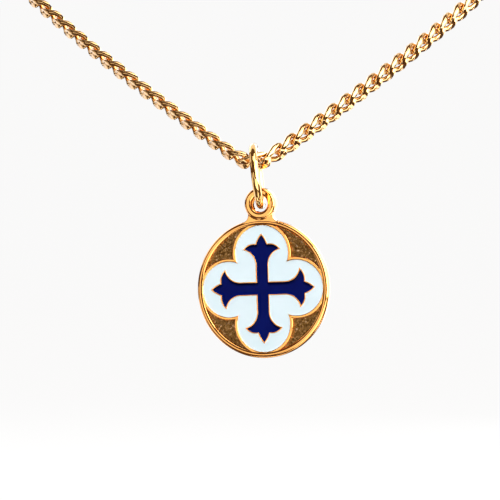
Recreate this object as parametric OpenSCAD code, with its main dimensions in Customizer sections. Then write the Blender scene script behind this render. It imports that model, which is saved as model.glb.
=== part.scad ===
// Round medal with an enamelled cross, hung by a jump ring from a curb chain.
// Millimetres. Z is up, X is to the wearer's left and the medal hangs in front, towards -Y.
// The origin is the middle of the clasp at the nape of the neck.
// The necklace is built as it is worn: a closed loop leaning forwards, with the medal hanging free.

/* [Medal] */
// Diameter over the polished rim
medal_diameter = 19; // [17:0.5:21]
// Thickness over the rim
medal_thickness = 1.1; // [1:0.1:1.6]
// Width of the polished rim
rim_width = 0.8; // [0.6:0.05:1]
// Width of the raised wall round the quatrefoil
wall_width = 0.42; // [0.3:0.02:0.5]
// Width of the fine gold line round the cross
line_width = 0.14; // [0.1:0.02:0.2]
// How far the matt gold ground lies under the rim
ground_depth = 0.5; // [0.3:0.05:0.6]
// How far the blue enamel lies under the white
blue_depth = 0.32; // [0.1:0.02:0.36]
// Width over the eye at the top of the medal
eye_width = 4.4; // [4.2:0.1:4.6]
// Depth of the eye from front to back
eye_depth = 1.5; // [1:0.1:1.5]

/* [Jump ring] */
// Height over the jump ring
ring_height = 9.1; // [8:0.1:10]
// Wire of the jump ring
ring_wire = 1.1; // [0.9:0.05:1.1]

/* [Chain] */
// Number of links from the one in the jump ring to the clasp, on each side
links_each_side = 78; // [74:1:78]
// Step from one link to the next
link_step = 2.65; // [2.6:0.01:2.66]
// Wire of the links
link_wire = 0.66; // [0.6:0.02:0.66]

/* [Hanging] */
// How far the loop of the chain leans forwards from upright
loop_lean = 38; // [30:1:45]
// How far the link in the jump ring is rolled out of the loop's own plane
chain_roll = 90; // [84:1:96]
// Twist of each arm of the chain beside the jump ring, the right one back and the left one on
chain_twist = 8; // [0:1:12]
// Turn of the medal, its right edge to the front
medal_turn = 19.5; // [0:0.5:20]
// Slope of the medal, its right edge up
medal_roll = 1.9; // [0:0.1:4]
// Turn of the jump ring
ring_turn = 4.2; // [0:0.2:6]
// Slope of the jump ring, its foot to the right
ring_lean = 7.2; // [0:0.2:8]

/* [Hidden] */
$fn = 96;

gold = [0.92, 0.68, 0.26];
enamel_white = [0.93, 0.96, 0.97];
enamel_navy = [0.02, 0.03, 0.28];

// Every length of the design on the medal's face is given for a 19 mm medal and grows with it.
medal_radius = medal_diameter / 2;
k = medal_diameter / 19;

// Space left round each inlay of enamel.
inlay_gap = 0.02;

// Heights above the medal's back.
pocket_floor = 0.4 * medal_thickness;
ground_height = medal_thickness - ground_depth;
wall_top = medal_thickness - 0.08;
line_top = medal_thickness - 0.16;
white_top = medal_thickness - 0.2;
blue_top = white_top - blue_depth;

// The four lobes of the quatrefoil.
lobe_radius = 3.8 * k;
lobe_centre = 4.86 * k;

// One half of a cross arm, from its root to its point.
shaft_half = 0.87 * k;
shaft_end = 3.1 * k;
petal_tip = [2.61, 5.38] * k;
notch = [0.81, 6.06] * k;
arm_tip = [0, 7.45] * k;

// The eye on the medal's top edge.
eye_centre = medal_radius + 2.1;
eye_hole = eye_width / 2 - 1.08;

// Heights of the jump ring under the middle of the chain.
ring_radius = (ring_height - ring_wire) / 2;
link_half_width = 0.83;
chain_clearance = 0.12;
ring_drop = ring_radius - ring_wire / 2 - link_half_width - link_wire / 2 - chain_clearance;
eye_clearance = 0.75;
hole_drop = eye_hole - ring_wire / 2 - eye_clearance;

// A link is a ring of wire with ten corners, twisted so that its two ends stand crosswise.
// Columns: along the chain, across it, out of its flat side.
link_quarter = [
    [1.05, link_half_width, -0.46],
    [1.62, 0.36, -0.45]
];
link_tip = 1.79;
wire_sides = 5;

// The clasp is a plain ring that holds both ends of the chain.
clasp_radius = 2.65;
clasp_overlap = 1.15;
clasp_half_span = clasp_radius - clasp_overlap + link_tip;

// Headings of the links in the plane of the loop: level under the jump ring, then rising.
first_heading = 36;
second_heading = 43;
drape_heading = 43;
drape_end_heading = 45;
drape_links = 9;
nape_share = 0.63;

// The chain twists over its first links and untwists slowly on the way to the nape.
twist_links = 2;
untwist_from = 12;

// The left arm starts a little in front of the loop's plane and the right one behind it, so that
// both lie freely in the bent link of the jump ring.
arm_offset = 0.25;

// The path of the chain

// The last link before the chain bends round to the nape.
shoulder_link = round(links_each_side * (1 - nape_share));

function heading(i, shoulder_heading) =
    i == 0 ? 0
    : i == 1 ? first_heading
    : i == 2 ? second_heading
    : i <= drape_links
        ? drape_heading + (drape_end_heading - drape_heading) * (i - 3) / (drape_links - 3)
    : i <= shoulder_link
        ? drape_end_heading
          + (shoulder_heading - drape_end_heading) * (i - drape_links) / (shoulder_link - drape_links)
    : shoulder_heading + (180 - shoulder_heading) * (i - shoulder_link) / (links_each_side + 1 - shoulder_link);

// Middle of link i, in the plane of the loop, counted from the link in the jump ring.
function link_middles(shoulder_heading) = [
    for (
        i = 0, p = [0, 0];
        i <= links_each_side;
        i = i + 1,
        p = p + next_step(heading(i - 1, shoulder_heading), heading(i, shoulder_heading))
    ) p
];

// The step between two links. They sit a little closer where the chain bends.
function next_step(before, after) =
    link_step * (0.75 + cos(after - before) / 4) * along((before + after) / 2);
function along(angle) = [cos(angle), sin(angle)];

// The heading at the shoulder is the one that brings the last link beside the clasp.
function closing_heading(low, high, tries) =
    let (middle = (low + high) / 2)
    tries == 0 ? middle
    : link_middles(middle)[links_each_side][0] > clasp_half_span
        ? closing_heading(middle, high, tries - 1)
        : closing_heading(low, middle, tries - 1);

shoulder_heading = closing_heading(drape_end_heading, 110, 24);
middles = link_middles(shoulder_heading);
loop_height = middles[links_each_side][1];

// The share of the twist that link i has.
function twist_share(i) =
    i <= twist_links ? i / twist_links
    : i <= untwist_from ? 1
    : 1 - (i - untwist_from) / (links_each_side - untwist_from);

// How far the middle of link i lies out of the plane of the loop.
function offset_of(i) = i == 0 ? 0 : arm_offset * (1 - i / links_each_side);

// From the plane of the loop to the worn position, with the clasp at the origin.
module worn_loop() {
    rotate([90 - loop_lean, 0, 0])
        translate([0, -loop_height, 0])
            children();
}

// From the middle of the link in the jump ring, upright, to the worn position.
module at_front() {
    translate([0, -loop_height * sin(loop_lean), -loop_height * cos(loop_lean)])
        children();
}

// The links

// The ten corners of a link's wire, in order round it.
link_corners = [
    link_quarter[0],
    link_quarter[1],
    [link_tip, 0, 0],
    across(link_quarter[1]),
    across(link_quarter[0]),
    behind(link_quarter[0]),
    behind(link_quarter[1]),
    [-link_tip, 0, 0],
    across(behind(link_quarter[1])),
    across(behind(link_quarter[0]))
];
function across(p) = [p[0], -p[1], -p[2]];
function behind(p) = [-p[0], -p[1], p[2]];
function unit(v) = v / norm(v);

// The wire's outline at corner i, on the plane that halves the bend there.
function wire_ring(i) =
    let (
        n = len(link_corners),
        here = link_corners[i],
        before = unit(here - link_corners[(i + n - 1) % n]),
        after = unit(link_corners[(i + 1) % n] - here),
        tangent = unit(before + after),
        outward = unit(before - after),
        side = cross(tangent, outward),
        stretch = 1 / (tangent * after),
        // The outward side turns round the wire from one corner to the next, so the flats are
        // kept in line by measuring from the chain's own axis.
        centre_line = unit([0, here[1], here[2]] + [here[0] * 0.3, 0, 0]),
        turn = atan2(centre_line * side, centre_line * outward)
    )
    [
        for (s = [0:wire_sides - 1])
            let (a = turn + 360 * s / wire_sides)
            here + link_wire / 2 * (cos(a) * stretch * outward + sin(a) * side)
    ];

link_points = [for (i = [0:len(link_corners) - 1]) each wire_ring(i)];
link_faces = [
    for (i = [0:len(link_corners) - 1], s = [0:wire_sides - 1])
        let (
            n = len(link_corners),
            a = i * wire_sides + s,
            b = i * wire_sides + (s + 1) % wire_sides,
            c = ((i + 1) % n) * wire_sides + (s + 1) % wire_sides,
            d = ((i + 1) % n) * wire_sides + s
        )
        each [[a, c, b], [a, d, c]]
];

// One point of a link, turned by the link's roll and heading and moved to its place.
function place(p, roll, angle, middle) =
    let (
        y = p[1] * cos(roll) - p[2] * sin(roll),
        z = p[1] * sin(roll) + p[2] * cos(roll)
    )
    [p[0] * cos(angle) - y * sin(angle) + middle[0], p[0] * sin(angle) + y * cos(angle) + middle[1], z + middle[2]];

// Links first to last on one side of the loop. side is 1 for the right and -1 for the left.
module links(first, last, side) {
    count = len(link_points);
    worn_loop()
        polyhedron(
            points = [
                for (i = [first:last])
                    for (p = link_points)
                        place(
                            p,
                            chain_roll - side * chain_twist * twist_share(i),
                            side * heading(i, shoulder_heading),
                            [side * middles[i][0], middles[i][1], side * offset_of(i)]
                        )
            ],
            faces = [
                for (i = [0:last - first])
                    for (f = link_faces)
                        [for (v = f) v + i * count]
            ],
            convexity = 8
        );
}

module chain_right() {
    color(gold)
        links(0, links_each_side, 1);
}

module chain_left() {
    color(gold)
        links(1, links_each_side, -1);
}

module clasp() {
    color(gold)
        worn_loop()
            translate([0, loop_height, 0])
                rotate([90 - chain_roll, 0, 0])
                    rotate_extrude()
                        translate([clasp_radius, 0])
                            circle(d = link_wire);
}

// The jump ring

// The lowest point of the jump ring's wire, from the middle of the chain.
ring_foot = (ring_drop + ring_radius)
    * [sin(ring_lean) * cos(ring_turn), -sin(ring_lean) * sin(ring_turn), -cos(ring_lean)];

module bail_ring() {
    color(gold)
        at_front()
            rotate([0, 0, -ring_turn])
                rotate([0, -ring_lean, 0])
                    translate([0, 0, -ring_drop])
                        rotate([0, 90, 0])
                            rotate_extrude()
                                translate([ring_radius, 0])
                                    circle(d = ring_wire);
}

// The medal, drawn lying on its back with its middle at the origin

module hung_medal() {
    at_front()
        translate(ring_foot)
            rotate([0, 0, -medal_turn])
                rotate([0, -medal_roll, 0])
                    translate([0, 0, -eye_centre - hole_drop])
                        rotate([90, 0, 0])
                            translate([0, 0, -medal_thickness / 2])
                                children();
}

// Points on the round bend between two points, hollow or full by its height at the middle.
function bend(from, to, height, steps) =
    let (
        chord = to - from,
        half = norm(chord) / 2,
        radius = (half * half + height * height) / (2 * abs(height)),
        normal = [-chord[1], chord[0]] / norm(chord) * sign(height),
        centre = (from + to) / 2 + normal * (abs(height) - radius),
        start = from - centre,
        end = to - centre,
        a0 = atan2(start[1], start[0]),
        turn = atan2(start[0] * end[1] - start[1] * end[0], start * end)
    )
    [for (s = [1:steps]) centre + radius * [cos(a0 + turn * s / steps), sin(a0 + turn * s / steps)]];

shaft_corner = [shaft_half, shaft_end];
half_arm = [
    each [shaft_corner],
    each bend(shaft_corner, petal_tip, 0.53 * k, 9),
    each bend(petal_tip, notch, -0.26 * k, 5),
    each bend(notch, arm_tip, -0.09 * k, 4)
];
last_point = len(half_arm) - 1;
whole_arm = [
    each half_arm,
    for (i = [last_point - 1:-1:0]) [-half_arm[i][0], half_arm[i][1]]
];

module cross_shape() {
    polygon([
        for (a = [0:90:270])
            each [
                for (p = whole_arm) [p[0] * cos(a) - p[1] * sin(a), p[0] * sin(a) + p[1] * cos(a)],
                shaft_half * sqrt(2) * [cos(a + 135), sin(a + 135)]
            ]
    ]);
}

module quatrefoil(radius) {
    square(4 * k, center = true);
    for (a = [0:90:270])
        rotate(a)
            translate([lobe_centre, 0])
                circle(r = radius);
}

// A quarter round, for the corners of turned shapes.
function corner(centre, radius, from, steps) =
    [for (s = [0:steps]) centre + radius * [cos(from + 90 * s / steps), sin(from + 90 * s / steps)]];

// The plate with its rounded rim, turned about its middle.
module plate() {
    round_over = rim_width / 2;
    rotate_extrude()
        polygon([
            [0, 0],
            each corner([medal_radius - round_over, round_over], round_over, -90, 8),
            each corner([medal_radius - round_over, medal_thickness - round_over], round_over, 0, 8),
            each corner([medal_radius - round_over, medal_thickness - round_over], round_over, 90, 7),
            [medal_radius - rim_width + 0.01, ground_height],
            [0, ground_height]
        ]);
}

// The raised wall round the quatrefoil, one rounded band for each lobe.
module lobe_walls() {
    round_over = wall_width * 0.36;
    inside = lobe_radius - 0.1;
    outside = lobe_radius + wall_width;
    reach = 134;
    for (a = [0:90:270])
        rotate(a)
            translate([lobe_centre, 0])
                rotate_extrude(angle = 2 * reach, start = -reach)
                    polygon([
                        [inside, pocket_floor],
                        [outside, pocket_floor],
                        each corner([outside - round_over, wall_top - round_over], round_over, 0, 6),
                        [lobe_radius + 0.03, wall_top],
                        [lobe_radius, wall_top - 0.03],
                        [inside, wall_top - 0.03]
                    ]);
}

// The eye and the fillets of solder at its foot.
module eye() {
    round_over = 0.3;
    half = eye_depth / 2 - round_over;
    inner = eye_hole + round_over;
    outer = eye_width / 2 - round_over;
    fillet = 0.9;
    reach = medal_radius + fillet;
    from_eye = eye_width / 2 + fillet;
    fillet_y = (reach * reach + eye_centre * eye_centre - from_eye * from_eye) / (2 * eye_centre);
    fillet_x = sqrt(reach * reach - fillet_y * fillet_y);
    translate([0, 0, medal_thickness / 2]) {
        translate([0, eye_centre, 0])
            rotate_extrude()
                polygon([
                    each corner([outer, half], round_over, 0, 8),
                    each corner([inner, half], round_over, 90, 8),
                    each corner([inner, -half], round_over, 180, 8),
                    each corner([outer, -half], round_over, 270, 8)
                ]);
        translate([0, 0, -0.4])
            linear_extrude(0.8)
                difference() {
                    translate([-fillet_x, medal_radius - 0.6])
                        square([2 * fillet_x, eye_centre - eye_hole - 0.05 - medal_radius + 0.6]);
                    for (s = [-1, 1])
                        translate([s * fillet_x, fillet_y])
                            circle(r = fillet + 0.04);
                }
    }
}

module medal() {
    color(gold)
        hung_medal() {
            difference() {
                union() {
                    plate();
                    lobe_walls();
                    eye();
                }
                translate([0, 0, pocket_floor])
                    linear_extrude(medal_thickness)
                        quatrefoil(lobe_radius);
            }
            translate([0, 0, pocket_floor - 0.05])
                linear_extrude(line_top - pocket_floor + 0.05)
                    difference() {
                        offset(delta = line_width / 2)
                            cross_shape();
                        offset(delta = -line_width / 2)
                            cross_shape();
                    }
        }
}

module white_enamel() {
    color(enamel_white)
        hung_medal()
            translate([0, 0, pocket_floor + inlay_gap])
                linear_extrude(white_top - pocket_floor - inlay_gap)
                    difference() {
                        quatrefoil(lobe_radius - inlay_gap);
                        offset(delta = line_width / 2 + inlay_gap)
                            cross_shape();
                    }
}

module blue_enamel() {
    color(enamel_navy)
        hung_medal()
            translate([0, 0, pocket_floor + inlay_gap])
                linear_extrude(blue_top - pocket_floor - inlay_gap)
                    offset(delta = -line_width / 2 - inlay_gap)
                        cross_shape();
}

// The pieces

medal();
white_enamel();
blue_enamel();
bail_ring();
chain_left();
chain_right();
clasp();
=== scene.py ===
import math

import bpy
from mathutils import Matrix, Vector


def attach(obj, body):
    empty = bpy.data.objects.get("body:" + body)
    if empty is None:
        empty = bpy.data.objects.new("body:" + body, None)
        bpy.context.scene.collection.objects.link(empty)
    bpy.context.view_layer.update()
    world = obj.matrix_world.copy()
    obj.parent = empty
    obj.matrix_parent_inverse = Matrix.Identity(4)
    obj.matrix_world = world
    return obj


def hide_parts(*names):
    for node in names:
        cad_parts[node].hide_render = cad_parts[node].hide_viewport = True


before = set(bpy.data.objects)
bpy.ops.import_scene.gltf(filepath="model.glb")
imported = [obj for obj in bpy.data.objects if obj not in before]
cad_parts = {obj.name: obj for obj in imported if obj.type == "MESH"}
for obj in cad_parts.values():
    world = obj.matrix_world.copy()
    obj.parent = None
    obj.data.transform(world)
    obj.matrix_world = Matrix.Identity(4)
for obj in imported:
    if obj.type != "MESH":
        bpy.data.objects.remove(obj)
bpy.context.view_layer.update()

MM = 0.001

# Sizes of the medal, the same as in the part's source. Heights are above the medal's back.
MEDAL_RADIUS = 9.5 * MM
MEDAL_THICKNESS = 1.1 * MM
RIM_WIDTH = 0.8 * MM
WALL_WIDTH = 0.42 * MM
LINE_WIDTH = 0.14 * MM
INLAY_GAP = 0.02 * MM
POCKET_FLOOR = 0.44 * MM
GROUND_HEIGHT = 0.6 * MM
WALL_TOP = 1.02 * MM
LINE_TOP = 0.94 * MM
WHITE_TOP = 0.9 * MM
BLUE_TOP = 0.58 * MM
LOBE_RADIUS = 3.8 * MM
LOBE_CENTRE = 4.86 * MM
SHAFT_HALF = 0.87 * MM
SHAFT_END = 3.1 * MM
PETAL_TIP = Vector((2.61, 5.38)) * MM
NOTCH = Vector((0.81, 6.06)) * MM
ARM_TIP = Vector((0, 7.45)) * MM
EYE_CENTRE = MEDAL_RADIUS + 2.1 * MM
EYE_WIDTH = 4.4 * MM
EYE_DEPTH = 1.5 * MM
EYE_HOLE = EYE_WIDTH / 2 - 1.08 * MM
EYE_ROUNDING = 0.38 * MM
SOLDER_FILLET = 0.9 * MM
SOLDER_DEPTH = 1.06 * MM
ABOVE_MEDAL = 2 * MEDAL_THICKNESS
WELD = 0.0005 * MM

# Sizes of the jump ring, the clasp and the chain, and how they hang.
RING_HEIGHT = 9.1 * MM
RING_WIRE = 1.1 * MM
RING_RADIUS = (RING_HEIGHT - RING_WIRE) / 2
RING_DROP = 2.17 * MM
EYE_CLEARANCE = 0.75 * MM
HOLE_DROP = EYE_HOLE - RING_WIRE / 2 - EYE_CLEARANCE
LINKS_EACH_SIDE = 78
LINK_STEP = 2.65 * MM
LINK_TIP = 1.79 * MM
CLASP_WIRE = 0.66 * MM
CLASP_RADIUS = 2.65 * MM
CLASP_OVERLAP = 1.15 * MM
CLASP_HALF_SPAN = CLASP_RADIUS - CLASP_OVERLAP + LINK_TIP
LOOP_LEAN = math.radians(38)
CHAIN_ROLL = math.radians(90)
CHAIN_TWIST = math.radians(8)
ARM_OFFSET = 0.25 * MM
MEDAL_TURN = math.radians(19.5)
MEDAL_ROLL = math.radians(1.9)
RING_TURN = math.radians(4.2)
RING_LEAN = math.radians(7.2)

# A link before its front and back are filed flat: its wire, and the middle of that wire at two points
# along the link, across it and out of its flat side. The flats lie this far from its middle.
LINK_WIRE = 0.8 * MM
LINK_QUARTER = (Vector((1.05, 0.7, -0.5)) * MM, Vector((1.62, 0.33, -0.47)) * MM)
LINK_FLAT = 0.62 * MM

# Headings of the links in the plane of the loop, in degrees, and where the chain twists.
FIRST_HEADINGS = (0, 36, 43)
DRAPE_HEADING = 43
DRAPE_END_HEADING = 45
DRAPE_LINKS = 9
SHOULDER_LINK = round(LINKS_EACH_SIDE * 0.37)
TWIST_LINKS = 2
UNTWIST_FROM = 12


# The path of the chain


def heading(i, shoulder):
    """The heading of link i: rising in front, steeper to the shoulder, then round to the nape."""
    if i < len(FIRST_HEADINGS):
        return FIRST_HEADINGS[i]
    if i <= DRAPE_LINKS:
        return DRAPE_HEADING + (DRAPE_END_HEADING - DRAPE_HEADING) * (i - 3) / (DRAPE_LINKS - 3)
    if i <= SHOULDER_LINK:
        share = (i - DRAPE_LINKS) / (SHOULDER_LINK - DRAPE_LINKS)
        return DRAPE_END_HEADING + (shoulder - DRAPE_END_HEADING) * share
    return shoulder + (180 - shoulder) * (i - SHOULDER_LINK) / (LINKS_EACH_SIDE + 1 - SHOULDER_LINK)


def roll(i, side):
    """How far link i is rolled out of the plane of the loop. Each arm twists beside the jump ring."""
    if i <= TWIST_LINKS:
        share = i / TWIST_LINKS
    elif i <= UNTWIST_FROM:
        share = 1
    else:
        share = 1 - (i - UNTWIST_FROM) / (LINKS_EACH_SIDE - UNTWIST_FROM)
    return CHAIN_ROLL - side * CHAIN_TWIST * share


def offset_of(i):
    """How far the middle of link i lies out of the plane of the loop."""
    return ARM_OFFSET * (1 - i / LINKS_EACH_SIDE) if i else 0.0


def link_middles(shoulder):
    """The middles of the links of one side, in the plane of the loop."""
    middles = [Vector((0, 0, 0))]
    for i in range(1, LINKS_EACH_SIDE + 1):
        before, after = math.radians(heading(i - 1, shoulder)), math.radians(heading(i, shoulder))
        step = LINK_STEP * (0.75 + math.cos(after - before) / 4)
        along = (before + after) / 2
        middles.append(middles[-1] + step * Vector((math.cos(along), math.sin(along), 0)))
    return middles


def closing_heading():
    """The heading at the shoulder that brings the last link beside the clasp."""
    low, high = DRAPE_END_HEADING, 110
    for _ in range(24):
        middle = (low + high) / 2
        if link_middles(middle)[-1].x > CLASP_HALF_SPAN:
            low = middle
        else:
            high = middle
    return (low + high) / 2


SHOULDER = closing_heading()
MIDDLES = link_middles(SHOULDER)
LOOP_HEIGHT = MIDDLES[-1].y
WORN_LOOP = Matrix.Rotation(math.pi / 2 - LOOP_LEAN, 4, "X") @ Matrix.Translation((0, -LOOP_HEIGHT, 0))
AT_FRONT = Matrix.Translation((0, -LOOP_HEIGHT * math.sin(LOOP_LEAN), -LOOP_HEIGHT * math.cos(LOOP_LEAN)))
HUNG_RING = (
    AT_FRONT
    @ Matrix.Rotation(-RING_TURN, 4, "Z")
    @ Matrix.Rotation(-RING_LEAN, 4, "Y")
    @ Matrix.Translation((0, 0, -RING_DROP))
    @ Matrix.Rotation(math.pi / 2, 4, "Y")
)
RING_FOOT = AT_FRONT @ Matrix.Translation(
    (RING_DROP + RING_RADIUS)
    * Vector(
        (
            math.sin(RING_LEAN) * math.cos(RING_TURN),
            -math.sin(RING_LEAN) * math.sin(RING_TURN),
            -math.cos(RING_LEAN),
        )
    )
)
# From a medal lying on its back, its middle at the origin, to the hanging one.
HUNG_MEDAL = (
    RING_FOOT
    @ Matrix.Rotation(-MEDAL_TURN, 4, "Z")
    @ Matrix.Rotation(-MEDAL_ROLL, 4, "Y")
    @ Matrix.Translation((0, 0, -EYE_CENTRE - HOLE_DROP))
    @ Matrix.Rotation(math.pi / 2, 4, "X")
    @ Matrix.Translation((0, 0, -MEDAL_THICKNESS / 2))
)


# Work at the bench


def take(piece, *others):
    """Only these pieces are selected, and the first is the one worked on."""
    if bpy.context.object and bpy.context.object.mode != "OBJECT":
        bpy.ops.object.mode_set(mode="OBJECT")
    bpy.ops.object.select_all(action="DESELECT")
    for one in (piece, *others):
        one.select_set(True)
    bpy.context.view_layer.objects.active = piece


def clear_bench():
    """Nothing is selected, so that a new primitive comes alone."""
    if bpy.context.object and bpy.context.object.mode != "OBJECT":
        bpy.ops.object.mode_set(mode="OBJECT")
    bpy.ops.object.select_all(action="DESELECT")


def new_piece(name):
    """Names the primitive that was just added."""
    piece = bpy.context.object
    piece.name = name
    piece.data.name = name
    return piece


def fix_place(piece):
    """The piece's place, turn and size go into its mesh."""
    take(piece)
    bpy.ops.object.transform_apply(location=True, rotation=True, scale=True)


def set_in(piece, place):
    """Moves a finished piece to its place on the necklace."""
    piece.matrix_world = place @ piece.matrix_world
    fix_place(piece)
    return piece


def modify(piece, kind, **settings):
    """Puts a modifier on the piece and applies it."""
    take(piece)
    change = piece.modifiers.new(kind.capitalize(), kind)
    for name, value in settings.items():
        setattr(change, name, value)
    bpy.ops.object.modifier_apply(modifier=change.name)


def combine(piece, tool, operation):
    """Cuts, joins or keeps the part in common with a tool, which is then thrown away."""
    modify(piece, "BOOLEAN", object=tool, operation=operation, solver="EXACT")
    bpy.data.objects.remove(tool)


def pick(piece, faces=None, edges=None, points=None):
    """Goes into edit mode with the faces, edges or points selected that pass a test of their middle."""
    take(piece)
    mesh = piece.data
    for part in (mesh.vertices, mesh.edges, mesh.polygons):
        part.foreach_set("select", [False] * len(part))
    bpy.context.tool_settings.mesh_select_mode = (points is not None, edges is not None, faces is not None)
    if faces:
        for face in mesh.polygons:
            face.select = faces(face)
    if edges:
        for edge in mesh.edges:
            a, b = (mesh.vertices[v].co for v in edge.vertices)
            edge.select = edges(a, b)
    if points:
        for point in mesh.vertices:
            point.select = points(point.co)
    bpy.ops.object.mode_set(mode="EDIT")


def pick_all(piece):
    take(piece)
    bpy.ops.object.mode_set(mode="EDIT")
    bpy.ops.mesh.select_all(action="SELECT")


def done():
    bpy.ops.object.mode_set(mode="OBJECT")


def close_up(piece):
    """Merges doubled points and turns the faces outwards."""
    pick_all(piece)
    bpy.ops.mesh.remove_doubles(threshold=WELD)
    bpy.ops.mesh.normals_make_consistent(inside=False)
    done()


def smooth(piece, degrees=32):
    take(piece)
    bpy.ops.object.shade_smooth_by_angle(angle=math.radians(degrees))


def join(pieces):
    take(*pieces)
    bpy.ops.object.join()
    return bpy.context.object


def radius_of(point):
    return math.hypot(point.x, point.y)


def near(a, b, reach=0.01 * MM):
    return abs(a - b) < reach


# The medal, made lying on its back


def bend(start, end, height, steps):
    """Points on the round bend from start to end, hollow or full by its height at the middle."""
    chord = end - start
    half = chord.length / 2
    radius = (half * half + height * height) / (2 * abs(height))
    side = 1 if height > 0 else -1
    normal = Vector((-chord.y, chord.x)).normalized() * side
    centre = (start + end) / 2 + normal * (abs(height) - radius)
    first, last = start - centre, end - centre
    angle = math.atan2(first.y, first.x)
    turn = math.atan2(first.x * last.y - first.y * last.x, first.dot(last))
    points = []
    for step in range(1, steps + 1):
        a = angle + turn * step / steps
        points.append(centre + radius * Vector((math.cos(a), math.sin(a))))
    return points


def cross_outline():
    """The outline of the cross: four arms, each ending in three petals."""
    corner = Vector((SHAFT_HALF, SHAFT_END))
    half = [corner]
    half += bend(corner, PETAL_TIP, 0.53 * MM, 16)
    half += bend(PETAL_TIP, NOTCH, -0.26 * MM, 8)
    half += bend(NOTCH, ARM_TIP, -0.09 * MM, 8)
    arm = half + [Vector((-p.x, p.y)) for p in reversed(half[:-1])]
    outline = []
    for quarter in range(4):
        c, s = ((1, 0), (0, 1), (-1, 0), (0, -1))[quarter]
        for p in arm + [Vector((-SHAFT_HALF, SHAFT_HALF))]:
            outline.append(Vector((p.x * c - p.y * s, p.x * s + p.y * c)))
    return outline


def outline_piece(name, outline, height, fill):
    """A ring of points at a height, first drawn as a circle and then laid along the outline."""
    clear_bench()
    bpy.ops.mesh.primitive_circle_add(
        vertices=len(outline), radius=MEDAL_RADIUS, fill_type=fill, location=(0, 0, 0)
    )
    piece = new_piece(name)
    for point, place in zip(piece.data.vertices, outline):
        point.co = (place.x, place.y, height)
    return piece


def cross_block(bottom, top):
    """A solid block of the cross's outline, as a tool for cutting."""
    block = outline_piece("cross_block", cross_outline(), bottom, "NGON")
    pick_all(block)
    bpy.ops.mesh.extrude_region_move(TRANSFORM_OT_translate={"value": (0, 0, top - bottom)})
    done()
    close_up(block)
    return block


def lobe_tools(radius, bottom, top):
    """The four lobes of the quatrefoil and the square between them, as tools for cutting."""
    square = 4 * MM
    tools = []
    for quarter in range(4):
        a = quarter * math.pi / 2
        clear_bench()
        bpy.ops.mesh.primitive_cylinder_add(
            vertices=128,
            radius=radius,
            depth=top - bottom,
            location=(LOBE_CENTRE * math.cos(a), LOBE_CENTRE * math.sin(a), (top + bottom) / 2),
        )
        tools.append(new_piece("lobe"))
    clear_bench()
    bpy.ops.mesh.primitive_cube_add(size=1, location=(0, 0, (top + bottom) / 2))
    middle = new_piece("middle")
    middle.scale = (square, square, top - bottom)
    tools.append(middle)
    for tool in tools:
        fix_place(tool)
    return tools


def quatrefoil_block(radius, bottom, top):
    """A solid block of the whole quatrefoil, as a tool for cutting."""
    block, *others = lobe_tools(radius, bottom, top)
    for other in others:
        combine(block, other, "UNION")
    return block


def medal_plate():
    """The plate with its half-round rim, sunk ground and the pocket for the enamel."""
    inside = MEDAL_RADIUS - RIM_WIDTH
    outer_round = 0.5 * RIM_WIDTH
    inner_round = 0.48 * RIM_WIDTH
    inner_slope = 0.4
    reach = 0.01 * MM

    def ring_edge(a, b, radius):
        return near(a.z, b.z) and near(radius_of(a), radius) and near(radius_of(b), radius)

    def inside_crest(p):
        return radius_of(p) < inside + inner_round + reach and p.z > MEDAL_THICKNESS - inner_round - reach

    clear_bench()
    bpy.ops.mesh.primitive_cylinder_add(
        vertices=192, radius=MEDAL_RADIUS, depth=MEDAL_THICKNESS, location=(0, 0, MEDAL_THICKNESS / 2)
    )
    plate = new_piece("medal_plate")
    fix_place(plate)
    pick(plate, faces=lambda face: face.normal.z > 0.9)
    bpy.ops.mesh.inset(thickness=RIM_WIDTH)
    bpy.ops.mesh.extrude_region_move(
        TRANSFORM_OT_translate={"value": (0, 0, GROUND_HEIGHT - MEDAL_THICKNESS)}
    )
    done()
    pick(plate, edges=lambda a, b: ring_edge(a, b, MEDAL_RADIUS))
    bpy.ops.mesh.bevel(offset=outer_round, segments=9, profile=0.5, affect="EDGES")
    done()
    pick(plate, edges=lambda a, b: ring_edge(a, b, inside) and near(a.z, MEDAL_THICKNESS))
    bpy.ops.mesh.bevel(offset=inner_round, segments=12, profile=0.5, affect="EDGES")
    done()
    # Inside its crest the rim slopes gently down towards the ground.
    pick(plate, points=inside_crest)
    bpy.ops.transform.resize(value=(1, 1, inner_slope), center_override=(0, 0, MEDAL_THICKNESS))
    done()
    for tool in lobe_tools(LOBE_RADIUS + INLAY_GAP, POCKET_FLOOR, ABOVE_MEDAL):
        combine(plate, tool, "DIFFERENCE")
    return plate


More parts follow.
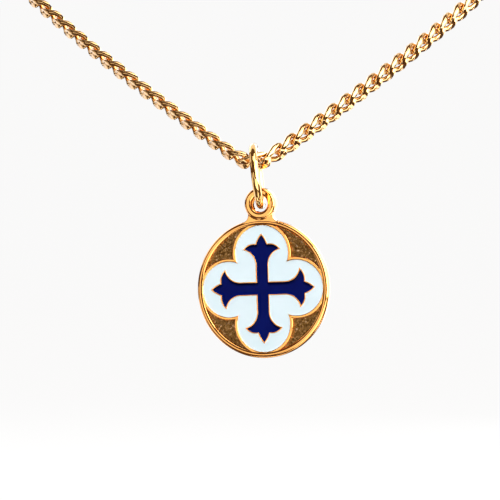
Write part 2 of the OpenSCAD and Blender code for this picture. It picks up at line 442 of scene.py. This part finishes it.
def quatrefoil_wall():
    """The raised wall: a band with a rounded top spun round one lobe, mitred and repeated four times."""
    rounding = 0.28 * WALL_WIDTH
    reach = math.radians(134)
    middle = LOBE_RADIUS + WALL_WIDTH / 2
    height = WALL_TOP - POCKET_FLOOR
    clear_bench()
    bpy.ops.mesh.primitive_plane_add(
        size=1,
        location=(
            LOBE_CENTRE + middle * math.cos(-reach),
            middle * math.sin(-reach),
            (WALL_TOP + POCKET_FLOOR) / 2,
        ),
        rotation=(math.pi / 2, 0, -reach),
    )
    wall = new_piece("quatrefoil_wall")
    wall.scale = (WALL_WIDTH, height, 1)
    fix_place(wall)
    pick(wall, points=lambda p: near(p.z, WALL_TOP))
    bpy.ops.mesh.bevel(offset=rounding, segments=6, profile=0.5, affect="VERTICES")
    bpy.ops.mesh.select_all(action="SELECT")
    bpy.ops.mesh.spin(steps=96, angle=-2 * reach, center=(LOBE_CENTRE, 0, 0), axis=(0, 0, 1))
    for normal in ((1, -1, 0), (1, 1, 0)):
        bpy.ops.mesh.select_all(action="SELECT")
        bpy.ops.mesh.bisect(plane_co=(0, 0, 0), plane_no=normal, clear_inner=True, use_fill=False)
    done()
    copies = [wall]
    for quarter in (1, 2, 3):
        take(wall)
        bpy.ops.object.duplicate()
        copy = bpy.context.object
        copy.matrix_world = Matrix.Rotation(quarter * math.pi / 2, 4, "Z")
        fix_place(copy)
        copies.append(copy)
    wall = join(copies)
    close_up(wall)
    return wall


def cross_line():
    """The fine gold line round the cross: its outline drawn up into a ribbon, thickened and eased."""
    easing = LINE_WIDTH / 4
    line = outline_piece("cross_line", cross_outline(), POCKET_FLOOR, "NOTHING")
    pick_all(line)
    bpy.ops.mesh.extrude_region_move(TRANSFORM_OT_translate={"value": (0, 0, LINE_TOP - POCKET_FLOOR)})
    bpy.ops.mesh.normals_make_consistent(inside=False)
    done()
    modify(line, "SOLIDIFY", thickness=LINE_WIDTH, offset=0, use_even_offset=True, use_quality_normals=True)
    modify(line, "BEVEL", width=easing, segments=3, limit_method="ANGLE", angle_limit=math.radians(55))
    close_up(line)
    return line


def grid_slab(name, half, spacing, bottom, top):
    """A slab with a fine net of squares on its top, so that the top can be shaped."""
    clear_bench()
    cuts = round(2 * half / spacing)
    bpy.ops.mesh.primitive_grid_add(
        x_subdivisions=cuts, y_subdivisions=cuts, size=2 * half, location=(0, 0, top)
    )
    slab = new_piece(name)
    fix_place(slab)
    pick(slab, edges=lambda a, b: any(near(abs(a[i]), half) and near(abs(b[i]), half) for i in (0, 1)))
    bpy.ops.mesh.extrude_edges_move(TRANSFORM_OT_translate={"value": (0, 0, bottom - top)})
    bpy.ops.mesh.edge_face_add()
    done()
    close_up(slab)
    return slab


def raise_edges(piece, top, height, reach):
    """Draws the top up where it meets the metal, as enamel creeps up a wall before it sets."""
    take(piece)
    bpy.context.tool_settings.mesh_select_mode = (False, True, False)
    bpy.ops.object.mode_set(mode="EDIT")
    bpy.ops.mesh.select_all(action="DESELECT")
    bpy.ops.mesh.edges_select_sharp(sharpness=math.radians(60))
    done()
    mesh = piece.data
    sharp = {v for edge in mesh.edges if edge.select for v in edge.vertices}
    border = [v for v in sharp if near(mesh.vertices[v].co.z, top, 0.002 * MM)]
    for part in (mesh.vertices, mesh.edges, mesh.polygons):
        part.foreach_set("select", [False] * len(part))
    for v in border:
        mesh.vertices[v].select = True
    bpy.context.tool_settings.mesh_select_mode = (True, False, False)
    bpy.ops.object.mode_set(mode="EDIT")
    bpy.ops.transform.translate(
        value=(0, 0, height),
        use_proportional_edit=True,
        proportional_edit_falloff="SHARP",
        proportional_size=reach,
    )
    done()


def blue_enamel():
    """The blue inlay. It lies low and climbs the fine line round it."""
    half, spacing = ARM_TIP.y + 0.15 * MM, 0.1 * MM
    climb, reach = 0.2 * MM, 0.42 * MM
    piece = grid_slab("blue_cross", half, spacing, POCKET_FLOOR, BLUE_TOP)
    combine(piece, cross_block(0, ABOVE_MEDAL), "INTERSECT")
    raise_edges(piece, BLUE_TOP, climb, reach)
    return piece


def white_enamel():
    """The white inlay, with the cross left out of it."""
    half, spacing = LOBE_CENTRE + LOBE_RADIUS + 0.24 * MM, 0.12 * MM
    climb, reach = 0.03 * MM, 0.35 * MM
    piece = grid_slab("white_quatrefoil", half, spacing, POCKET_FLOOR, WHITE_TOP)
    combine(piece, quatrefoil_block(LOBE_RADIUS + INLAY_GAP, 0, ABOVE_MEDAL), "INTERSECT")
    combine(piece, cross_block(0, ABOVE_MEDAL), "DIFFERENCE")
    raise_edges(piece, WHITE_TOP, climb, reach)
    return piece


def medal_eye():
    """The eye: a thick ring of oblong wire, its section drawn once, rounded and spun."""
    width = EYE_WIDTH / 2 - EYE_HOLE
    clear_bench()
    bpy.ops.mesh.primitive_plane_add(
        size=1,
        location=(EYE_HOLE + width / 2, EYE_CENTRE, MEDAL_THICKNESS / 2),
        rotation=(math.pi / 2, 0, 0),
    )
    eye = new_piece("medal_eye")
    eye.scale = (width, EYE_DEPTH, 1)
    fix_place(eye)
    pick(eye, points=lambda p: True)
    bpy.ops.mesh.bevel(offset=EYE_ROUNDING, segments=8, profile=0.5, affect="VERTICES")
    bpy.ops.mesh.select_all(action="SELECT")
    bpy.ops.mesh.spin(steps=96, angle=2 * math.pi, center=(0, EYE_CENTRE, 0), axis=(0, 0, 1))
    done()
    close_up(eye)
    return eye


def solder():
    """The solder between eye and rim, hollowed at both sides. The hollows touch both rounds."""
    reach = MEDAL_RADIUS + SOLDER_FILLET
    from_eye = EYE_WIDTH / 2 + SOLDER_FILLET
    y = (reach**2 + EYE_CENTRE**2 - from_eye**2) / (2 * EYE_CENTRE)
    x = math.sqrt(reach**2 - y**2)
    low, high = MEDAL_RADIUS - 0.6 * MM, EYE_CENTRE - EYE_HOLE - 0.05 * MM
    clear_bench()
    bpy.ops.mesh.primitive_cube_add(size=1, location=(0, (low + high) / 2, MEDAL_THICKNESS / 2))
    block = new_piece("solder")
    block.scale = (2 * x, high - low, SOLDER_DEPTH)
    fix_place(block)
    for side in (-1, 1):
        clear_bench()
        bpy.ops.mesh.primitive_cylinder_add(
            vertices=96,
            radius=SOLDER_FILLET + 0.03 * MM,
            depth=4 * SOLDER_DEPTH,
            location=(side * x, y, MEDAL_THICKNESS / 2),
        )
        combine(block, new_piece("hollow"), "DIFFERENCE")
    modify(block, "BEVEL", width=0.16 * MM, segments=4, limit_method="ANGLE", angle_limit=math.radians(50))
    close_up(block)
    return block


def soldered_eye():
    """The eye and its solder, run together into one smooth casting."""
    eye = join([medal_eye(), solder()])
    eye.name = "medal_eye"
    modify(eye, "REMESH", mode="VOXEL", voxel_size=0.045 * MM)
    modify(eye, "SMOOTH", factor=0.5, iterations=14)
    close_up(eye)
    return eye


# Ring, clasp and links


def wire_ring(name, radius, wire, segments, seam):
    """A ring of round wire with the soldered seam where its ends were closed, at an angle round it."""
    clear_bench()
    bpy.ops.mesh.primitive_torus_add(
        major_segments=segments, minor_segments=28, major_radius=radius, minor_radius=wire / 2
    )
    ring = new_piece(name)
    at = Vector((math.cos(seam), math.sin(seam), 0))
    step = 2 * math.pi * radius / segments

    def beside_seam(p, steps):
        return p.dot(at) > 0 and abs(p.x * at.y - p.y * at.x) < (steps + 0.5) * step

    # The solder swells over two steps of the wire, and the cut is a fine groove in it.
    for steps, swell in ((2, 1.05), (0, 0.93)):
        pick(ring, points=lambda p: beside_seam(p, steps))
        bpy.ops.transform.resize(value=(swell, swell, swell), center_override=at * radius)
        done()
    return ring


def curb_link():
    """One link: a ring of wire bent through ten points, then filed flat on its front and back."""
    side, end = LINK_QUARTER

    def turned(p, x, y, z):
        return Vector((p.x * x, p.y * y, p.z * z))

    corners = [
        side,
        end,
        Vector((LINK_TIP, 0, 0)),
        turned(end, 1, -1, -1),
        turned(side, 1, -1, -1),
        turned(side, -1, -1, 1),
        turned(end, -1, -1, 1),
        Vector((-LINK_TIP, 0, 0)),
        turned(end, -1, 1, -1),
        turned(side, -1, 1, -1),
    ]
    clear_bench()
    bpy.ops.curve.primitive_bezier_circle_add(radius=LINK_TIP)
    link = new_piece("curb_link")
    wire = link.data
    spline = wire.splines[0]
    spline.bezier_points.add(len(corners) - len(spline.bezier_points))
    for point, place in zip(spline.bezier_points, corners):
        point.co = place
        point.handle_left_type = point.handle_right_type = "AUTO"
    wire.dimensions = "3D"
    wire.resolution_u = 3
    wire.bevel_depth = LINK_WIRE / 2
    wire.bevel_resolution = 3
    take(link)
    bpy.ops.object.convert(target="MESH")
    link = bpy.context.object
    close_up(link)
    for face in (-1, 1):
        pick_all(link)
        bpy.ops.mesh.bisect(
            plane_co=(0, 0, face * LINK_FLAT), plane_no=(0, 0, face), clear_outer=True, use_fill=True
        )
        done()
    return link


def chain_side(name, link, first, last, side):
    """One side of the chain: a copy of the link at each of its places. Side 1 is to the right."""
    copies = []
    for i in range(first, last + 1):
        take(link)
        bpy.ops.object.duplicate()
        copy = bpy.context.object
        copy.matrix_world = (
            WORN_LOOP
            @ Matrix.Translation((side * MIDDLES[i].x, MIDDLES[i].y, side * offset_of(i)))
            @ Matrix.Rotation(side * math.radians(heading(i, SHOULDER)), 4, "Z")
            @ Matrix.Rotation(roll(i, side), 4, "X")
        )
        copies.append(copy)
    chain = join(copies)
    chain.name = name
    chain.data.name = name
    fix_place(chain)
    return chain


# Materials


def material(name):
    """A new material, its nodes, its links and its shader."""
    made = bpy.data.materials.new(name)
    made.use_nodes = True
    return made, made.node_tree.nodes, made.node_tree.links, made.node_tree.nodes["Principled BSDF"]


def noise(nodes, links, place, scale, detail=2.0, rough=0.5):
    """Soft clouds between 0 and 1. A greater scale makes finer ones."""
    made = nodes.new("ShaderNodeTexNoise")
    made.inputs["Scale"].default_value = scale
    made.inputs["Detail"].default_value = detail
    made.inputs["Roughness"].default_value = rough
    links.new(place, made.inputs["Vector"])
    return made.outputs["Fac"]


def spread(nodes, links, value, low, high):
    """Brings a value between 0 and 1 into a range."""
    made = nodes.new("ShaderNodeMapRange")
    made.inputs["From Min"].default_value = 0.3
    made.inputs["From Max"].default_value = 0.7
    made.inputs["To Min"].default_value = low
    made.inputs["To Max"].default_value = high
    links.new(value, made.inputs["Value"])
    return made.outputs["Result"]


def two_tones(nodes, links, value, one, other):
    """A colour that goes from one tone to another."""
    made = nodes.new("ShaderNodeValToRGB")
    made.color_ramp.elements[0].position = 0.35
    made.color_ramp.elements[0].color = (*one, 1)
    made.color_ramp.elements[1].position = 0.65
    made.color_ramp.elements[1].color = (*other, 1)
    links.new(value, made.inputs["Fac"])
    return made.outputs["Color"]


def relief(nodes, links, value, strength, distance, under=None):
    """Fine relief of a surface, on top of another one where that is given."""
    made = nodes.new("ShaderNodeBump")
    made.inputs["Strength"].default_value = strength
    made.inputs["Distance"].default_value = distance
    links.new(value, made.inputs["Height"])
    if under:
        links.new(under, made.inputs["Normal"])
    return made.outputs["Normal"]


def gold(name, deep, bright, rough_low, rough_high, wear, lacquer=1.5):
    """Polished gold plate under clear lacquer: two close tones, uneven polish, fine marks of wear."""
    made, nodes, links, shader = material(name)
    place = nodes.new("ShaderNodeTexCoord").outputs["Object"]
    clouds = noise(nodes, links, place, 420, 3)
    marks = noise(nodes, links, place, 5200, 4, 0.7)
    links.new(two_tones(nodes, links, clouds, deep, bright), shader.inputs["Base Color"])
    shader.inputs["Metallic"].default_value = 1.0
    shader.inputs["Coat Weight"].default_value = 1.0
    shader.inputs["Coat Roughness"].default_value = 0.04
    shader.inputs["Coat IOR"].default_value = lacquer
    links.new(spread(nodes, links, marks, rough_low, rough_high), shader.inputs["Roughness"])
    links.new(relief(nodes, links, marks, wear, 0.004 * MM), shader.inputs["Normal"])
    return made


def matt_gold(name, deep, bright, painted_glint):
    """The sunk ground: pebbled and mottled, its gold darkened as painted shade between the pebbles, with
    pale painted glints in places.
    """
    made, nodes, links, shader = material(name)
    place = nodes.new("ShaderNodeTexCoord").outputs["Object"]
    patches = noise(nodes, links, place, 2600, 4, 0.65)
    tones = two_tones(nodes, links, patches, deep, bright)
    ramp = tones.node.color_ramp
    ramp.elements[1].position = 0.6
    # Painted glints: the brightest patches take a pale colour that stands for highlights.
    painted_glint_stop = ramp.elements.new(0.72)
    painted_glint_stop.color = (*painted_glint, 1)
    links.new(tones, shader.inputs["Base Color"])
    shader.inputs["Metallic"].default_value = 1.0
    links.new(spread(nodes, links, patches, 0.38, 0.2), shader.inputs["Roughness"])
    pebbles = nodes.new("ShaderNodeTexVoronoi")
    pebbles.inputs["Scale"].default_value = 3800
    links.new(place, pebbles.inputs["Vector"])
    normal = relief(nodes, links, pebbles.outputs["Distance"], 1.0, 0.045 * MM)
    links.new(relief(nodes, links, patches, 0.8, 0.06 * MM, normal), shader.inputs["Normal"])
    return made


def enamel(name, deep, bright, wave, gloss):
    """Hard enamel: a hair of colour variation under a glassy top that isn't quite even."""
    made, nodes, links, shader = material(name)
    place = nodes.new("ShaderNodeTexCoord").outputs["Object"]
    clouds = noise(nodes, links, place, 300, 3)
    ripples = noise(nodes, links, place, 900, 2)
    links.new(two_tones(nodes, links, clouds, deep, bright), shader.inputs["Base Color"])
    links.new(spread(nodes, links, ripples, 0.05, 0.1), shader.inputs["Roughness"])
    shader.inputs["Specular IOR Level"].default_value = gloss
    links.new(relief(nodes, links, ripples, wave, 0.01 * MM), shader.inputs["Normal"])
    return made


MEDAL_GOLD = gold("medal_gold", (0.93, 0.42, 0.085), (0.96, 0.47, 0.11), 0.05, 0.12, 0.1)
# The ground's dark tones are painted shade between the pebbles, and its pale third tone is painted glints.
GROUND_GOLD = matt_gold("ground_gold", (0.13, 0.06, 0.010), (0.46, 0.25, 0.08), (0.95, 0.72, 0.5))
SATIN_GOLD = gold("satin_gold", (0.6, 0.27, 0.055), (0.78, 0.38, 0.1), 0.4, 0.58, 0.35)
RING_GOLD = gold("ring_gold", (0.87, 0.49, 0.12), (0.92, 0.58, 0.18), 0.04, 0.09, 0.03)
# The chain's gold is a darker copy of the jump ring's: painted shade for the shadow among the links.
CHAIN_GOLD = gold("chain_gold", (0.68, 0.36, 0.08), (0.76, 0.45, 0.13), 0.04, 0.09, 0.03, 1.9)
WHITE_ENAMEL = enamel("white_enamel", (0.68, 0.84, 0.92), (0.72, 0.87, 0.95), 0.12, 0.5)
BLUE_ENAMEL = enamel("blue_enamel", (0.0004, 0.003, 0.082), (0.0007, 0.005, 0.1), 0.12, 0.03)


def surface(plate, made, faces):
    """Gives some faces of the plate a surface of their own."""
    plate.data.materials.append(made)
    pick(plate, faces=faces)
    plate.active_material_index = len(plate.data.materials) - 1
    bpy.ops.object.material_slot_assign()
    done()


def finish_piece(piece, made, slot, body, *nodes):
    """Gives a piece its material and its body, and hides the nodes that it stands for. Its slot is not
    used.
    """
    if not piece.data.materials:
        piece.data.materials.append(made)
    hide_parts(*nodes)
    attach(piece, body)


# The pieces

for make in (medal_plate, quatrefoil_wall, cross_line, soldered_eye):
    part = make()
    part.data.materials.clear()
    part.data.materials.append(MEDAL_GOLD)
    if make is medal_plate:
        surface(part, GROUND_GOLD, lambda face: face.normal.z > 0.99 and near(face.center.z, GROUND_HEIGHT))
        surface(part, SATIN_GOLD, lambda face: face.normal.z < -0.99)
    smooth(part)
    finish_piece(set_in(part, HUNG_MEDAL), MEDAL_GOLD, "gold", "medal", "medal")

white = white_enamel()
smooth(white)
finish_piece(set_in(white, HUNG_MEDAL), WHITE_ENAMEL, "white_enamel", "medal", "white_enamel")
blue = blue_enamel()
smooth(blue)
finish_piece(set_in(blue, HUNG_MEDAL), BLUE_ENAMEL, "blue_enamel", "medal", "blue_enamel")

ring = wire_ring("jump_ring", RING_RADIUS, RING_WIRE, 128, math.radians(240))
smooth(ring, 60)
finish_piece(set_in(ring, HUNG_RING), RING_GOLD, "gold", "jump_ring", "bail_ring")

clasp = wire_ring("clasp_ring", CLASP_RADIUS, CLASP_WIRE, 96, math.radians(80))
smooth(clasp, 60)
clasp_place = (
    WORN_LOOP @ Matrix.Translation((0, LOOP_HEIGHT, 0)) @ Matrix.Rotation(math.pi / 2 - CHAIN_ROLL, 4, "X")
)
finish_piece(set_in(clasp, clasp_place), CHAIN_GOLD, "gold", "necklace", "clasp")

link = curb_link()
smooth(link, 60)
right = chain_side("links_right", link, 0, LINKS_EACH_SIDE, 1)
left = chain_side("links_left", link, 1, LINKS_EACH_SIDE, -1)
bpy.data.objects.remove(link)
finish_piece(right, CHAIN_GOLD, "gold", "necklace", "chain_right")
finish_piece(left, CHAIN_GOLD, "gold", "necklace", "chain_left")


# Camera, floor and light

PENDANT = Vector((-0.72 * MM, -93.4 * MM, -131.69 * MM))
CAMERA_DISTANCE = 0.4
SENSOR_WIDTH = 36
PICTURE_WIDTH = 68.4 * MM
FLOOR_HEIGHT = -0.21
FLOOR_RADIUS = 4
FLOOR_CURVE = 1.5

bpy.ops.object.camera_add(location=PENDANT + Vector((0, -CAMERA_DISTANCE, 0)), rotation=(math.pi / 2, 0, 0))
camera = bpy.context.object
camera.data.sensor_width = SENSOR_WIDTH
camera.data.lens = SENSOR_WIDTH * CAMERA_DISTANCE / PICTURE_WIDTH
camera.data.clip_start = 0.01
camera.data.clip_end = 50
bpy.context.scene.camera = camera


def backdrop():
    """A wide pale floor that turns up into a wall all round."""
    clear_bench()
    bpy.ops.mesh.primitive_circle_add(
        vertices=96, radius=FLOOR_RADIUS, fill_type="NGON", location=(0, 0, FLOOR_HEIGHT)
    )
    floor = new_piece("pale_floor")
    fix_place(floor)
    pick(floor, edges=lambda a, b: True)
    bpy.ops.mesh.extrude_edges_move(TRANSFORM_OT_translate={"value": (0, 0, FLOOR_RADIUS)})
    done()
    pick(floor, edges=lambda a, b: near(a.z, FLOOR_HEIGHT, MM) and near(b.z, FLOOR_HEIGHT, MM))
    bpy.ops.mesh.bevel(offset=FLOOR_CURVE, segments=12, profile=0.5, affect="EDGES")
    done()
    smooth(floor, 60)
    made, nodes, links, shader = material("pale_paper")
    shader.inputs["Roughness"].default_value = 0.9
    shader.inputs["Base Color"].default_value = (0.03, 0.03, 0.03, 1)
    shader.inputs["Emission Color"].default_value = (1, 1, 1, 1)
    shader.inputs["Emission Strength"].default_value = 0.94
    floor.data.materials.append(made)
    floor.visible_glossy = False
    floor.visible_diffuse = False
    floor.visible_shadow = False


def softbox(name, azimuth, elevation, distance, width, height, brightness, fill=False):
    """A soft panel aimed at the medal. Azimuth 0 is the camera's side, and 90 is to its right.
    The panels make the reflections in the metal, and the fill light lights the enamel."""
    a = math.radians(azimuth)
    e = math.radians(elevation)
    away = Vector((math.sin(a) * math.cos(e), -math.cos(a) * math.cos(e), math.sin(e)))
    lamp = bpy.data.lights.new(name, "AREA")
    lamp.shape = "RECTANGLE"
    lamp.size, lamp.size_y = width, height
    lamp.energy = brightness * math.pi * width * height
    made = bpy.data.objects.new(name, lamp)
    bpy.context.scene.collection.objects.link(made)
    made.location = PENDANT + away * distance
    made.rotation_euler = away.to_track_quat("Z", "Y").to_euler()
    made.visible_camera = False
    made.visible_glossy = not fill
    made.visible_diffuse = fill


backdrop()
softbox("right_panel", 58, 18, 0.7, 1.16, 0.74, 5.8)
softbox("low_front_panel", 16, -28, 0.7, 0.72, 0.44, 2.6)
softbox("low_left_panel", -24, -22, 0.7, 0.2, 0.36, 1.15)
softbox("table_panel", 35, -66, 0.7, 0.3, 0.34, 1.5)
softbox("upper_right_panel", 38, 62, 0.7, 0.7, 0.4, 3.4)
softbox("upper_left_panel", -50, 61, 0.7, 0.34, 0.1, 1.0)
softbox("front_left_panel", -40, -1, 0.7, 0.27, 0.22, 1.2)
softbox("left_panel", -102, 24, 0.7, 0.5, 0.3, 0.8)
softbox("low_side_panel", -92, -10, 0.7, 0.4, 0.24, 0.8)
softbox("back_left_panel", -150, 22, 0.8, 0.8, 0.4, 0.9)
softbox("low_back_left_panel", -132, -23, 0.8, 0.7, 0.46, 1.2)
softbox("low_back_panel", -150, -74, 0.8, 0.6, 0.2, 2.4)
softbox("back_panel", 175, 42, 0.8, 1.6, 0.8, 1.0)
softbox("back_right_panel", 138, 8, 0.8, 1.0, 0.7, 2.2)
softbox("low_back_right_panel", 118, -34, 0.8, 0.42, 0.2, 2.4)
softbox("fill", -10, 42, 0.8, 0.6, 0.5, 10.5, fill=True)

world = bpy.data.worlds.new("studio")
world.use_nodes = True
world.node_tree.nodes["Background"].inputs["Color"].default_value = (0.13, 0.08, 0.045, 1)
bpy.context.scene.world = world
bpy.context.scene.view_settings.view_transform = "Standard"
